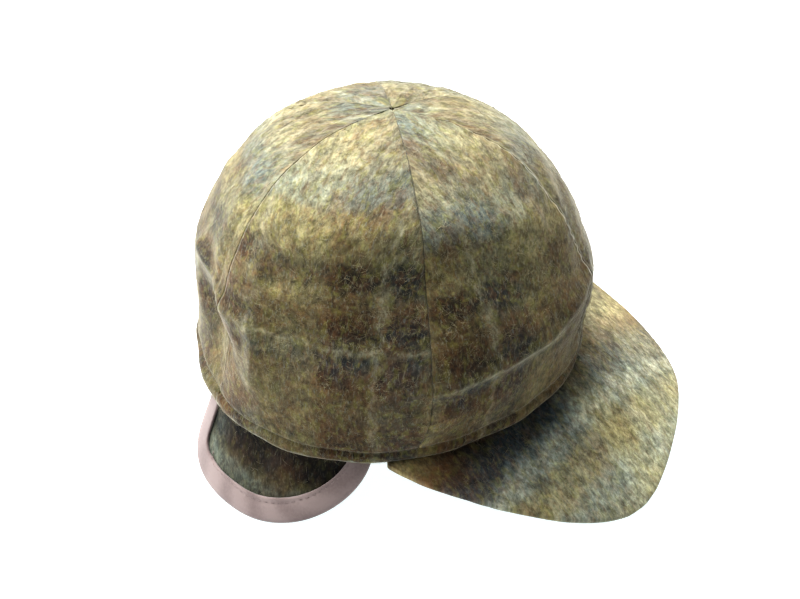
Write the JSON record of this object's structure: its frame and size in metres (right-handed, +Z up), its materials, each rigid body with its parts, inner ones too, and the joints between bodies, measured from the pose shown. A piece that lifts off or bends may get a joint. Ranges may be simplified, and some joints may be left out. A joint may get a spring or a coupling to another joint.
{
  "type": "peaked wool cap with ear flaps",
  "caption": "Soft felted wool cap: rounded panelled crown open below for the head, short curved peak in front, and a lowered ear flap with a bound edge on each side.",
  "frame": {"origin": "centre of the cap's bounding box on the surface that it lies on", "axes": "+Z up, -Y towards the peak, which is the wearer's front, +X towards the wearer's left"},
  "size_m": [0.2196, 0.235, 0.1525],
  "materials": {
    "wool_cloth": "thick felted wool with a fine nap, olive and brown heather with a soft broad plaid",
    "binding_tape": "matt woven tape in mauve brown, stitched along its inner edge"
  },
  "bodies": {
    "root": {"crown_panel_front_right": "wool_cloth", "crown_panel_side_right": "wool_cloth", "crown_panel_rear_right": "wool_cloth", "crown_panel_front_left": "wool_cloth", "crown_panel_side_left": "wool_cloth", "crown_panel_rear_left": "wool_cloth", "peak": "wool_cloth", "ear_flap_right": "wool_cloth", "ear_flap_left": "wool_cloth", "flap_binding_right": "binding_tape", "flap_binding_left": "binding_tape"}
  },
  "joints": []
}
